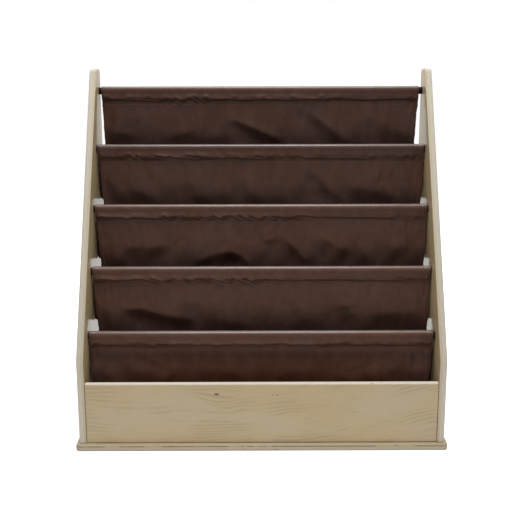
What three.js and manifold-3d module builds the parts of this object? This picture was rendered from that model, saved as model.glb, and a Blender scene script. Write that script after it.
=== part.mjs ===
// Sling bookshelf for children. Two birch plywood sides stand on a plywood base, a front board closes the
// lowest bin, and one sewn cloth sling hangs over black rods between the sides as a row of open pockets.
// Millimetres, +Z up, the front faces -Y, the origin is the middle of the base's underside.
import * as THREE from 'three';
import { mergeVertices } from 'three/addons/utils/BufferGeometryUtils.js';
import Module from 'manifold-3d';

const wasm = await Module();
wasm.setup();

// Plywood boards
const plyThickness = 15;
const insideWidth = 732;
const sideHeight = 757;
const sideDepth = 360;
const sideTopDepth = 49;
const shoulderHeight = 181;
const shoulderRadius = 30;
const topCornerRadius = 12;
const edgeRadius = 3;
const baseOverhang = 7;
const baseCornerRadius = 8;
const frontBoardHeight = 130;
const frontBoardInset = 2;

// Rods: a sloping row behind the sides' front edges, and one low rod that anchors the sling's end
const rodDiameter = 16;
const rodWall = 1.5;
const rodsInRow = 5;
const rodSetback = 54.5;
const topRodDrop = 49;
const lowRodRise = 213;
const anchorRodRise = 25;
const anchorRodSetback = 52;
const rodSocketDepth = 8;
const rodChamfer = 0.8;
const tappedDepth = 18;

// Bolts that hold the rods, one through each side into each rod's end
const boltDiameter = 6;
const boltHeadDiameter = 15;
const boltHeadThickness = 2;
const boltHeadRound = 0.6;
const boltTipChamfer = 0.8;
const boltGrip = 14;
const hexSocketWidth = 4;
const hexSocketDepth = 1.4;

// Screws and dowels that join the boards
const boardScrewDiameter = 5;
const boardScrewHeadDiameter = 10;
const boardScrewLength = 50;
const baseScrewDiameter = 4;
const baseScrewHeadDiameter = 8;
const baseScrewLength = 40;
const screwPointLength = 4;
const screwSink = 0.5;
const recessWidth = 1.2;
const recessDepth = 1.5;
const dowelDiameter = 8;
const dowelLength = 30;
const dowelChamfer = 1;
const dowelShallowEnd = 10;

// Places of the joints as shares of the length that they follow
const sideScrewShares = [0.12, 0.5, 0.9];
const sideDowelShares = [0.31, 0.7];
const frontScrewShares = [-0.35, 0, 0.35];
const boardScrewShares = [0.2, 0.8];
const boardDowelShares = [0.5];

// Sling: sleeves round the rods, each pinched by a seam, and loose cloth between the seams
const clothThickness = 1.5;
const slingEndGap = 4;
const seamDrop = 30;
const seamAllowance = 6;
const pocketDrop = 116;
const drawIn = 6;
const foldDepth = 3;
const binBow = 6;

// Fits
const clearance = 0.3;
const overrun = 5;

// Facet counts
const rodSides = 18;
const boltSides = 12;
const screwSides = 10;
const arcSteps = 5;
const edgeSteps = 2;
const clothColumns = 18;
const clothRows = 14;
const binRows = 7;

const material = (color, roughness, metalness) => (
  new THREE.MeshStandardMaterial({ color, roughness, metalness }));
const birchSide = material(0xc9bb9c, 0.45, 0);
const birchFront = material(0xc2ab80, 0.42, 0);
const birchBase = material(0xbfa982, 0.45, 0);
const beech = material(0xcfae82, 0.7, 0);
const blackPaint = material(0x15130f, 0.45, 0.3);
const zincSteel = material(0x9a9a98, 0.4, 0.9);
const brownCloth = material(0x4a342a, 0.55, 0);

// Derived places. The sides' front edges are the datum for depth
const baseDepth = sideDepth + baseOverhang;
const frontEdgeY = baseOverhang - baseDepth / 2;
const baseTop = plyThickness;
const innerX = insideWidth / 2;
const outerX = innerX + plyThickness;
const slingWidth = insideWidth - 2 * slingEndGap;
const frontBoardY = frontEdgeY + frontBoardInset;
const boardMidY = frontBoardY + plyThickness / 2;
const rodRadius = rodDiameter / 2;
const boreRadius = rodRadius + clearance;
const sleeveRadius = boreRadius + clothThickness;

// Turns a shape in (depth, height) that was extruded along its own z into one that runs along X
const alongX = (geometry) => geometry.rotateX(Math.PI / 2).rotateZ(Math.PI / 2);

function toManifold(geometry) {
  const bare = geometry.clone();
  bare.deleteAttribute('normal');
  bare.deleteAttribute('uv');
  const merged = mergeVertices(bare);
  const vertProperties = new Float32Array(merged.attributes.position.array);
  const triVerts = new Uint32Array(merged.index.array);
  return new wasm.Manifold(new wasm.Mesh({ numProp: 3, vertProperties, triVerts }));
}

function cut(geometry, cutters) {
  const result = cutters.reduce((body, cutter) => body.subtract(toManifold(cutter)), toManifold(geometry));
  const mesh = result.getMesh();
  const cutGeometry = new THREE.BufferGeometry();
  cutGeometry.setAttribute('position', new THREE.BufferAttribute(mesh.vertProperties, 3));
  cutGeometry.setIndex(new THREE.BufferAttribute(mesh.triVerts, 1));
  cutGeometry.computeVertexNormals();
  return cutGeometry;
}

function piece(name, geometry, pieceMaterial) {
  const mesh = new THREE.Mesh(geometry, pieceMaterial);
  mesh.name = name;
  return mesh;
}

// A closed outline whose corners [x, y, radius] are rounded with arcs, listed anticlockwise
function filletedShape(corners) {
  const shape = new THREE.Shape();
  const point = (corner) => new THREE.Vector2(corner[0], corner[1]);
  corners.forEach((corner, i) => {
    const here = point(corner);
    const radius = corner[2];
    if (radius === 0) {
      i === 0 ? shape.moveTo(here.x, here.y) : shape.lineTo(here.x, here.y);
      return;
    }
    const back = point(corners.at(i - 1)).sub(here).normalize();
    const ahead = point(corners[(i + 1) % corners.length]).sub(here).normalize();
    const halfAngle = Math.acos(back.dot(ahead)) / 2;
    const run = radius / Math.tan(halfAngle);
    const start = here.clone().addScaledVector(back, run);
    const end = here.clone().addScaledVector(ahead, run);
    const middle = back.clone().add(ahead).normalize().multiplyScalar(radius / Math.sin(halfAngle)).add(here);
    i === 0 ? shape.moveTo(start.x, start.y) : shape.lineTo(start.x, start.y);
    const startAngle = start.sub(middle).angle();
    const endAngle = end.sub(middle).angle();
    shape.absarc(middle.x, middle.y, radius, startAngle, endAngle, false);
  });
  shape.closePath();
  return shape;
}

// A board cut to an outline, with all its edges rounded over
function roundedBoard(shape, thickness) {
  return new THREE.ExtrudeGeometry(shape, {
    depth: thickness - 2 * edgeRadius,
    curveSegments: arcSteps,
    bevelThickness: edgeRadius,
    bevelSize: edgeRadius,
    bevelOffset: -edgeRadius,
    bevelSegments: edgeSteps,
  }).translate(0, 0, edgeRadius);
}

const bar = (shape, length) => new THREE.ExtrudeGeometry(shape, {
  depth: length,
  bevelEnabled: false,
  curveSegments: arcSteps,
});

const turned = (points, sides) => (
  new THREE.LatheGeometry(points.map(([r, y]) => new THREE.Vector2(r, y)), sides));

// Round cutters, from one place to another along X or Z
function boreX(diameter, fromX, toX, y, z, sides = screwSides) {
  const radius = diameter / 2 + clearance;
  return new THREE.CylinderGeometry(radius, radius, Math.abs(toX - fromX), sides)
    .rotateZ(Math.PI / 2).translate((fromX + toX) / 2, y, z);
}

function boreZ(diameter, fromZ, toZ, x, y, sides = screwSides) {
  const radius = diameter / 2 + clearance;
  return new THREE.CylinderGeometry(radius, radius, toZ - fromZ, sides)
    .rotateX(Math.PI / 2).translate(x, y, (fromZ + toZ) / 2);
}

// Rod centres. The row runs parallel to the sides' sloping front edges
const slopeRise = sideHeight - shoulderHeight;
const slopeRun = sideDepth - sideTopDepth;
const highRodZ = baseTop + sideHeight - topRodDrop;
const lowRodZ = baseTop + lowRodRise;

function rowRod(i) {
  const z = highRodZ + (lowRodZ - highRodZ) * i / (rodsInRow - 1);
  const y = frontEdgeY + rodSetback + (z - baseTop - shoulderHeight) * slopeRun / slopeRise;
  return { y, z };
}

const rods = Array.from({ length: rodsInRow }, (_, i) => rowRod(i));
const anchorRod = { y: frontBoardY + plyThickness + anchorRodSetback, z: baseTop + anchorRodRise };
rods.push(anchorRod);

// Places along the boards
const sideScrewYs = sideScrewShares.map((share) => frontEdgeY + share * sideDepth);
const sideDowelYs = sideDowelShares.map((share) => frontEdgeY + share * sideDepth);
const frontScrewXs = frontScrewShares.map((share) => share * insideWidth);
const boardScrewZs = boardScrewShares.map((share) => baseTop + share * frontBoardHeight);
const boardDowelZs = boardDowelShares.map((share) => baseTop + share * frontBoardHeight);
const sideMidX = innerX + plyThickness / 2;
const dowelDeepEnd = dowelLength - dowelShallowEnd;

// Sides: sloping front edge over a short upright one, rounded top corners and a square foot
function sidePanel(side) {
  const outline = filletedShape([
    [0, -overrun, 0],
    [sideDepth, -overrun, 0],
    [sideDepth, sideHeight, topCornerRadius],
    [sideDepth - sideTopDepth, sideHeight, topCornerRadius],
    [0, shoulderHeight, shoulderRadius],
  ]);
  const board = alongX(roundedBoard(outline, plyThickness))
    .translate(side > 0 ? innerX : -outerX, frontEdgeY, baseTop);
  const foot = new THREE.BoxGeometry(insideWidth + 2 * plyThickness + 2 * overrun, 2 * sideDepth, 2 * overrun)
    .translate(0, 0, baseTop - overrun);
  const outside = side * (outerX + overrun);
  const inside = side * (innerX - overrun);
  const rodCuts = rods.flatMap(({ y, z }) => [
    boreX(rodDiameter, inside, side * (innerX + rodSocketDepth), y, z, rodSides),
    boreX(boltDiameter, inside, outside, y, z, boltSides),
  ]);
  const boardCuts = boardScrewZs.map((z) => boreX(boardScrewDiameter, inside, outside, boardMidY, z));
  const headCuts = boardScrewZs.map((z) => countersinkX(side, z));
  const dowelCuts = boardDowelZs.map((z) => boreX(dowelDiameter, inside,
    side * (innerX + dowelShallowEnd + clearance), boardMidY, z));
  const screwTop = screwSink + baseScrewLength + clearance;
  const footScrewCuts = sideScrewYs.map((y) => boreZ(baseScrewDiameter, baseTop - overrun, screwTop,
    side * sideMidX, y));
  const footDowelCuts = sideDowelYs.map((y) => boreZ(dowelDiameter, baseTop - overrun,
    baseTop + dowelDeepEnd + clearance, side * sideMidX, y));
  return cut(board, [foot, ...rodCuts, ...boardCuts, ...headCuts, ...dowelCuts, ...footScrewCuts,
    ...footDowelCuts]);
}

// The cone that a board screw's head sits in, opening at the side's outer face
function countersinkX(side, z) {
  const headRadius = boardScrewHeadDiameter / 2 + clearance;
  const cone = turned([
    [0, -headRadius],
    [headRadius, 0],
    [headRadius, overrun],
    [0, overrun],
  ], screwSides);
  return cone.rotateZ(-side * Math.PI / 2).translate(side * (outerX - screwSink), boardMidY, z);
}

function basePanel() {
  const halfWidth = outerX + baseOverhang;
  const halfDepth = baseDepth / 2;
  const outline = filletedShape([
    [-halfWidth, -halfDepth, baseCornerRadius],
    [halfWidth, -halfDepth, baseCornerRadius],
    [halfWidth, halfDepth, baseCornerRadius],
    [-halfWidth, halfDepth, baseCornerRadius],
  ]);
  const board = roundedBoard(outline, plyThickness);
  const screwPlaces = baseScrewPlaces();
  const shankCuts = screwPlaces.map(({ x, y }) => boreZ(baseScrewDiameter,
    -overrun, baseTop + overrun, x, y));
  const headRadius = baseScrewHeadDiameter / 2 + clearance;
  const headCuts = screwPlaces.map(({ x, y }) => turned([
    [0, -overrun],
    [headRadius, -overrun],
    [headRadius, screwSink],
    [0, screwSink + headRadius],
  ], screwSides).rotateX(Math.PI / 2).translate(x, y, 0));
  const dowelCuts = baseDowelPlaces().map(({ x, y }) => boreZ(dowelDiameter,
    baseTop - dowelShallowEnd - clearance, baseTop + overrun, x, y));
  return cut(board, [...shankCuts, ...headCuts, ...dowelCuts]);
}

function baseScrewPlaces() {
  const underSides = [-1, 1].flatMap((side) => sideScrewYs.map((y) => ({ x: side * sideMidX, y })));
  const underFront = frontScrewXs.map((x) => ({ x, y: boardMidY }));
  return [...underSides, ...underFront];
}

function baseDowelPlaces() {
  return [-1, 1].flatMap((side) => sideDowelYs.map((y) => ({ x: side * sideMidX, y })));
}

// Front board between the sides, rounded over along its top
function frontBoard() {
  const profile = filletedShape([
    [0, 0, 0],
    [plyThickness, 0, 0],
    [plyThickness, frontBoardHeight, edgeRadius],
    [0, frontBoardHeight, edgeRadius],
  ]);
  const board = alongX(bar(profile, insideWidth)).translate(-innerX, frontBoardY, baseTop);
  const screwReach = outerX - screwSink - boardScrewLength - clearance;
  const endCuts = [-1, 1].flatMap((side) => [
    ...boardScrewZs.map((z) => boreX(boardScrewDiameter, side * screwReach, side * (innerX + overrun),
      boardMidY, z)),
    ...boardDowelZs.map((z) => boreX(dowelDiameter, side * (innerX - dowelDeepEnd - clearance),
      side * (innerX + overrun), boardMidY, z)),
  ]);
  const footCuts = frontScrewXs.map((x) => boreZ(baseScrewDiameter, baseTop - overrun,
    screwSink + baseScrewLength + clearance, x, boardMidY));
  return cut(board, [...endCuts, ...footCuts]);
}

// Rod: a steel tube with chamfered ends that are closed with tapped plugs, here one body with the tube
function rod({ y, z }) {
  const end = innerX + rodSocketDepth - clearance;
  const tapRadius = boltDiameter / 2 + clearance;
  const half = [
    [rodRadius - rodWall, end - tappedDepth],
    [tapRadius, end - tappedDepth],
    [tapRadius, end],
    [rodRadius - rodChamfer, end],
    [rodRadius, end - rodChamfer],
  ];
  const mirrored = half.map(([r, x]) => [r, -x]);
  const outline = [...mirrored, ...half.reverse(), mirrored[0]];
  return turned(outline, rodSides).rotateZ(-Math.PI / 2).translate(0, y, z);
}

// Flat-headed bolt with a hexagon socket, its head on the side's outer face
function rodBolt(side, { y, z }) {
  const shank = plyThickness - rodSocketDepth + boltGrip;
  const radius = boltDiameter / 2;
  const headRadius = boltHeadDiameter / 2;
  const body = turned([
    [0, 0],
    [radius - boltTipChamfer, 0],
    [radius, boltTipChamfer],
    [radius, shank],
    [headRadius, shank],
    [headRadius, shank + boltHeadThickness - boltHeadRound],
    [headRadius - boltHeadRound, shank + boltHeadThickness],
    [0, shank + boltHeadThickness],
  ], boltSides);
  const socketRadius = hexSocketWidth / Math.sqrt(3);
  const socket = new THREE.CylinderGeometry(socketRadius, socketRadius, 2 * hexSocketDepth, 6)
    .translate(0, shank + boltHeadThickness, 0);
  return cut(body, [socket]).rotateZ(-side * Math.PI / 2).translate(side * (outerX - shank), y, z);
}

// Countersunk screw that points along its own +Y from a head at 0, with a cross recess in the head
function screw(diameter, headDiameter, length) {
  const radius = diameter / 2;
  const headRadius = headDiameter / 2;
  const body = turned([
    [0, 0],
    [headRadius, 0],
    [radius, headRadius - radius],
    [radius, length - screwPointLength],
    [0, length],
  ], screwSides);
  const slot = (x, z) => new THREE.BoxGeometry(x, 2 * recessDepth, z);
  return cut(body, [slot(headRadius, recessWidth), slot(recessWidth, headRadius)]);
}

const boardScrew = (side, z) => screw(boardScrewDiameter, boardScrewHeadDiameter, boardScrewLength)
  .rotateZ(side * Math.PI / 2).translate(side * (outerX - screwSink), boardMidY, z);

const baseScrew = ({ x, y }) => screw(baseScrewDiameter, baseScrewHeadDiameter, baseScrewLength)
  .rotateX(Math.PI / 2).translate(x, y, screwSink);

// Chamfered dowel along its own +Y, centred
function dowel() {
  const half = dowelLength / 2;
  const radius = dowelDiameter / 2;
  return turned([
    [0, -half],
    [radius - dowelChamfer, -half],
    [radius, dowelChamfer - half],
    [radius, half - dowelChamfer],
    [radius - dowelChamfer, half],
    [0, half],
  ], screwSides);
}

const baseDowel = ({ x, y }) => dowel().rotateX(Math.PI / 2)
  .translate(x, y, baseTop - dowelShallowEnd + dowelLength / 2);

const boardDowel = (side, z) => dowel().rotateZ(Math.PI / 2)
  .translate(side * (innerX + dowelShallowEnd - dowelLength / 2), boardMidY, z);

// Sleeve: cloth folded round the rod and pinched by the seam. hang is -1 below the rod, 1 above it
function sleeve({ y, z }, hang) {
  const tangent = (radius, drop) => Math.acos(radius / drop) - Math.PI / 2;
  const halfTab = clothThickness;
  const outer = new THREE.Shape();
  const side = tangent(sleeveRadius, seamDrop);
  outer.absarc(0, 0, sleeveRadius, side, Math.PI - side, false);
  outer.lineTo(-halfTab, -seamDrop);
  outer.lineTo(halfTab, -seamDrop);
  outer.closePath();
  const bore = new THREE.Path();
  const apex = seamDrop - seamAllowance;
  const inside = tangent(boreRadius, apex);
  bore.absarc(0, 0, boreRadius, inside, Math.PI - inside, false);
  bore.lineTo(0, -apex);
  bore.closePath();
  outer.holes.push(bore);
  const tube = alongX(new THREE.ExtrudeGeometry(outer, {
    depth: slingWidth,
    bevelEnabled: false,
    curveSegments: 2 * arcSteps,
  })).translate(-slingWidth / 2, 0, 0);
  if (hang > 0) tube.rotateX(Math.PI);
  return tube.translate(0, y, z);
}

// Loose folds across the cloth, deepest half way between two seams. across runs -1 to 1, down 0 to 1
const foldWaves = [
  { share: 0.55, count: 1.6, slantShare: 0.8, phase: 0.7 },
  { share: 0.45, count: 3.1, slantShare: -1.1, phase: 2.1 },
];

function fold(tier, across, down) {
  const waves = foldWaves.map(({ share, count, slantShare, phase }) => (
    share * Math.cos(Math.PI * (count * across + slantShare * down) + phase * tier)));
  return foldDepth * Math.sin(Math.PI * down) * waves.reduce((sum, wave) => sum + wave, 0);
}

// Cloth of even thickness along a path of points { y, z, normalY, normalZ, down }, as one closed body
function clothSheet(path, tier) {
  const positions = [];
  const rows = path.length;
  for (const face of [-1, 1]) {
    for (const { y, z, normalY, normalZ, down } of path) {
      const halfWidth = slingWidth / 2 - drawIn * Math.sin(Math.PI * down);
      for (let column = 0; column < clothColumns; column += 1) {
        const across = 2 * column / (clothColumns - 1) - 1;
        const offset = face * clothThickness / 2 + fold(tier, across, down);
        positions.push(across * halfWidth, y + normalY * offset, z + normalZ * offset);
      }
    }
  }
  const vertex = (face, row, column) => (face * rows + row) * clothColumns + column;
  const quads = [];
  for (let row = 0; row + 1 < rows; row += 1) {
    for (let column = 0; column + 1 < clothColumns; column += 1) {
      const corners = (face) => [vertex(face, row, column), vertex(face, row, column + 1),
        vertex(face, row + 1, column + 1), vertex(face, row + 1, column)];
      quads.push(corners(0), corners(1).reverse());
    }
    const last = clothColumns - 1;
    quads.push([vertex(0, row, 0), vertex(0, row + 1, 0), vertex(1, row + 1, 0), vertex(1, row, 0)]);
    quads.push([vertex(1, row, last), vertex(1, row + 1, last), vertex(0, row + 1, last),
      vertex(0, row, last)]);
  }
  for (let column = 0; column + 1 < clothColumns; column += 1) {
    const end = rows - 1;
    quads.push([vertex(0, 0, column), vertex(1, 0, column), vertex(1, 0, column + 1),
      vertex(0, 0, column + 1)]);
    quads.push([vertex(0, end, column + 1), vertex(1, end, column + 1), vertex(1, end, column),
      vertex(0, end, column)]);
  }
  const geometry = new THREE.BufferGeometry();
  geometry.setAttribute('position', new THREE.Float32BufferAttribute(positions, 3));
  geometry.setIndex(quads.flatMap(([a, b, c, d]) => [a, b, c, a, c, d]));
  geometry.computeVertexNormals();
  return geometry;
}

// A pocket hangs as a catenary from the seam behind it to the seam in front of it
const seamGap = clothThickness / 2 + clearance / 2;

function pocketPath(rear, front) {
  const rearY = rear.y - seamGap;
  const frontY = front.y + seamGap;
  const bottomZ = front.z - pocketDrop;
  const rearRise = rear.z - seamDrop - clearance - bottomZ;
  const frontRise = front.z - seamDrop - clearance - bottomZ;
  const spread = (bend) => bend * (Math.acosh(1 + rearRise / bend) + Math.acosh(1 + frontRise / bend));
  let low = 0;
  let high = rearY - frontY;
  for (let i = 0; i < 60; i += 1) {
    const middle = (low + high) / 2;
    if (spread(middle) < rearY - frontY) low = middle;
    else high = middle;
  }
  const bend = low;
  const bottomY = frontY + bend * Math.acosh(1 + frontRise / bend);
  const reach = (rise) => Math.sqrt((rise + bend) ** 2 - bend ** 2);
  const length = reach(rearRise) + reach(frontRise);
  const crowding = 1.6 * bend;
  const start = Math.asinh(reach(rearRise) / crowding);
  const finish = -Math.asinh(reach(frontRise) / crowding);
  return Array.from({ length: clothRows }, (_, i) => {
    const along = crowding * Math.sinh(start + (finish - start) * i / (clothRows - 1));
    const slope = Math.hypot(bend, along);
    return {
      y: bottomY + bend * Math.asinh(along / bend),
      z: bottomZ - bend + slope,
      normalY: -along / slope,
      normalZ: bend / slope,
      down: (reach(rearRise) - along) / length,
    };
  });
}

// The sling's last length drops behind the front board to the anchor rod, bowed a little to the front
function binPath(rear, anchor) {
  const top = { y: rear.y - seamGap, z: rear.z - seamDrop - clearance };
  const foot = { y: anchor.y, z: anchor.z + seamDrop + clearance };
  return Array.from({ length: binRows }, (_, i) => {
    const down = i / (binRows - 1);
    return {
      y: top.y + (foot.y - top.y) * down - binBow * Math.sin(Math.PI * down),
      z: top.z + (foot.z - top.z) * down,
      normalY: -1,
      normalZ: 0,
      down,
    };
  });
}

const bookshelf = new THREE.Group();
const sideNames = [['left', -1], ['right', 1]];

bookshelf.add(piece('base_panel', basePanel(), birchBase));
bookshelf.add(piece('front_panel', frontBoard(), birchFront));
for (const [name, side] of sideNames) {
  bookshelf.add(piece(`${name}_side`, sidePanel(side), birchSide));
  boardScrewZs.forEach((z, i) => {
    bookshelf.add(piece(`front_screw_${name}_${i + 1}`, boardScrew(side, z), zincSteel));
  });
  boardDowelZs.forEach((z, i) => {
    bookshelf.add(piece(`front_dowel_${name}_${i + 1}`, boardDowel(side, z), beech));
  });
}
baseScrewPlaces().forEach((place, i) => {
  bookshelf.add(piece(`base_screw_${i + 1}`, baseScrew(place), zincSteel));
});
baseDowelPlaces().forEach((place, i) => {
  bookshelf.add(piece(`base_dowel_${i + 1}`, baseDowel(place), beech));
});
rods.forEach((place, i) => {
  bookshelf.add(piece(`rod_${i + 1}`, rod(place), blackPaint));
  for (const [name, side] of sideNames) {
    bookshelf.add(piece(`rod_bolt_${name}_${i + 1}`, rodBolt(side, place), zincSteel));
  }
  bookshelf.add(piece(`sling_sleeve_${i + 1}`, sleeve(place, place === anchorRod ? 1 : -1), brownCloth));
});
for (let tier = 1; tier < rodsInRow; tier += 1) {
  const path = pocketPath(rods[tier - 1], rods[tier]);
  bookshelf.add(piece(`sling_pocket_${tier}`, clothSheet(path, tier), brownCloth));
}
const lowRod = rods[rodsInRow - 1];
bookshelf.add(piece('sling_bin_back', clothSheet(binPath(lowRod, anchorRod), rodsInRow), brownCloth));

export default bookshelf;
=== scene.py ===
import math

import bpy
import numpy as np
from mathutils import Matrix, Vector


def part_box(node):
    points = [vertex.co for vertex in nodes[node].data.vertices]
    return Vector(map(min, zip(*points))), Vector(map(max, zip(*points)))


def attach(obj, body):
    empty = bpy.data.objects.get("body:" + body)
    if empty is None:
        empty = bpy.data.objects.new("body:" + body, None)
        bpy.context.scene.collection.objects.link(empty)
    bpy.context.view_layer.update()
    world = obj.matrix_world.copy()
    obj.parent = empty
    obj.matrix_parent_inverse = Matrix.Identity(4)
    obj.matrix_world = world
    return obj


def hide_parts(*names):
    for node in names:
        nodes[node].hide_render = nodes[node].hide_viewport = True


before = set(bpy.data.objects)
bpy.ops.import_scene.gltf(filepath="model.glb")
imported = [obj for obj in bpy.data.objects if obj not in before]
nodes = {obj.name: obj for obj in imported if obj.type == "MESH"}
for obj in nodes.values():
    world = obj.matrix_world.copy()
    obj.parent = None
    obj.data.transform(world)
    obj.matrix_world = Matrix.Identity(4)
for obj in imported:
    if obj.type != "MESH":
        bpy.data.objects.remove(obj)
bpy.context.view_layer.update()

# Camera. The shelf is seen from the front, a little above its top row and almost square on, so both inner
# faces show. Lens, place and tilt come from a fit to the shelf's measured edges.
camera = bpy.data.objects.new("camera", bpy.data.cameras.new("camera"))
camera.data.lens = 65.12
camera.data.sensor_width = 36
bpy.context.scene.collection.objects.link(camera)
turned = Matrix.Rotation(math.radians(-0.241), 4, "Z")
tipped = Matrix.Rotation(math.radians(90 - 13.25), 4, "X")
rolled = Matrix.Rotation(math.radians(-0.0885), 4, "Z")
camera.matrix_world = Matrix.Translation((-0.0090, -2.0108, 0.8379)) @ turned @ tipped @ rolled
bpy.context.scene.camera = camera
bpy.context.scene.view_settings.view_transform = "Standard"


# Base panel. One birch plywood board under the whole shelf, rounded over on its edges and lacquered clear,
# so its plies show as a striped edge. The sides and the front board are screwed to it from below.
def new_finish(name, roughness, **sockets):
    """A material whose shader has plain numbers set on its own sockets. Returns both."""
    material = bpy.data.materials.new(name)
    material.use_nodes = True
    shader = material.node_tree.nodes["Principled BSDF"]
    shader.inputs["Roughness"].default_value = roughness
    for socket, value in sockets.items():
        shader.inputs[socket.replace("_", " ")].default_value = value
    return material, shader


def feed(shader, **sockets):
    """Links what changes over the surface to the shader's own sockets."""
    for socket, value in sockets.items():
        shader.id_data.links.new(value, shader.inputs[socket.replace("_", " ")])


def step(shader, kind, inputs, output=0, **settings):
    """Adds one node of that kind beside the shader. inputs are numbers, vectors or links, by socket."""
    tree = shader.id_data
    made = tree.nodes.new("ShaderNode" + kind)
    for key, value in settings.items():
        setattr(made, key, value)
    for key, value in inputs.items():
        if isinstance(value, bpy.types.NodeSocket):
            tree.links.new(value, made.inputs[key])
        else:
            made.inputs[key].default_value = value
    return made.outputs[output]


def sums(shader, operation, a, b=0.0, c=0.0):
    """One sum on two or three numbers or links."""
    return step(shader, "Math", {0: a, 1: b, 2: c}, operation=operation)


def between(shader, value, low, high):
    """0 below low, 1 above high, and a smooth rise between."""
    inputs = {"Value": value, "From Min": low, "From Max": high}
    return step(shader, "MapRange", inputs, interpolation_type="SMOOTHSTEP")


def tint(shader, amount, first, second):
    """The first colour, moved towards the second by amount."""
    def ready(colour):
        return (*colour, 1) if isinstance(colour, tuple) else colour
    inputs = {0: amount, 6: ready(first), 7: ready(second)}
    return step(shader, "Mix", inputs, output=2, data_type="RGBA")


def stain(shader, colour, where, share, other):
    """The colour, moved towards the other by share where the mask is 1."""
    return tint(shader, sums(shader, "MULTIPLY", where, share), colour, other)


def times(colour, *by):
    """A colour with its channels multiplied by one number, or each by its own."""
    return tuple(np.multiply(colour, by))


def noise(shader, place, scale, detail=2.0, roughness=0.5):
    """Cloudy noise about 0.5, read at a place."""
    inputs = {"Vector": place, "Scale": scale, "Detail": detail, "Roughness": roughness}
    return step(shader, "TexNoise", inputs)


def stretched(shader, place, scale, offset=(0.0, 0.0, 0.0)):
    """A place with its axes scaled, so that what is read there runs long along the small ones."""
    return step(shader, "Mapping", {"Vector": place, "Scale": scale, "Location": offset})


def scales(axis, own, others):
    """Three scales for stretched: own on that axis, others on the other two."""
    return [own if name == axis else others for name in "XYZ"]


def pick(shader, vector, axis):
    """One coordinate of a vector."""
    return step(shader, "SeparateXYZ", {0: vector}, output=axis)


def own_place(shader):
    """Where a point lies in the shelf's frame, in metres."""
    return step(shader, "TexCoord", {}, output="Object")


def own_facing(shader):
    """Which way the surface faces there, in the shelf's frame."""
    return step(shader, "TexCoord", {}, output="Normal")


def bump(shader, height, strength, deep):
    """A fine relief from a height of 0 to 1, deep metres from one to the other."""
    return step(shader, "Bump", {"Height": height, "Strength": strength, "Distance": deep})


MM = 0.001
plies_in_board = 11
ring_gap = 8.8 * MM
knot_brown, void_brown = (0.07, 0.035, 0.016), (0.07, 0.04, 0.022)
# The first colour is the dark glue of an open ply; the second is a painted shadow colour for joint lines.
open_glue, joint_shadow_brown = (0.13, 0.085, 0.045), (0.10, 0.062, 0.034)


def figure(shader, place, grain, through, seed, climb, knots):
    """Rotary-cut figure on a board's face: faint bands, where a height across the board, swayed by cloudy
    noise, passes each ring_gap. They climb to one side by climb, and bend round each knot (along, across,
    size), which has a dark pin in its middle. Returns the bands, the pins and a slow drift, each 0 to 1."""
    beside = next(axis for axis in "XYZ" if axis not in (grain, through))
    far, level = pick(shader, place, grain), pick(shader, place, beside)
    clouds = stretched(shader, place, scales(grain, 3.0, 9.0), (seed, 0.37 * seed, 0.71 * seed))
    sway = noise(shader, clouds, 1.0, 3.0, 0.45)
    rise = sums(shader, "MULTIPLY", sums(shader, "MAXIMUM", far, 0.0), -climb)
    height = sums(shader, "ADD", sums(shader, "MULTIPLY_ADD", sway, 0.09, level), rise)
    pins = 0.0
    for knot_far, knot_level, size in knots:
        away_far = sums(shader, "SUBTRACT", far, knot_far)
        away = sums(shader, "SUBTRACT", level, knot_level)
        near = step(shader, "CombineXYZ", {"X": sums(shader, "DIVIDE", away_far, 18 * size),
                                           "Y": sums(shader, "DIVIDE", away, 9 * size)})
        ring = step(shader, "VectorMath", {0: near}, output="Value", operation="LENGTH")
        bulge = between(shader, ring, 1.0, 0.0)
        bent = sums(shader, "MULTIPLY", sums(shader, "MULTIPLY", away, bulge), -0.75)
        height = sums(shader, "ADD", height, bent)
        pins = sums(shader, "MAXIMUM", pins, between(shader, ring, 0.105, 0.045))
    rings = sums(shader, "SINE", sums(shader, "MULTIPLY", height, 2 * math.pi / ring_gap))
    patch = between(shader, noise(shader, clouds, 2.7, 2.0), 0.42, 0.62)
    bands = sums(shader, "MULTIPLY", sums(shader, "MULTIPLY_ADD", rings, 0.5, 0.5), patch)
    slow = noise(shader, stretched(shader, clouds, (1.6, 1.6, 1.6)), 1.0, 2.0)
    return bands, pins, between(shader, slow, 0.30, 0.75)


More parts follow.
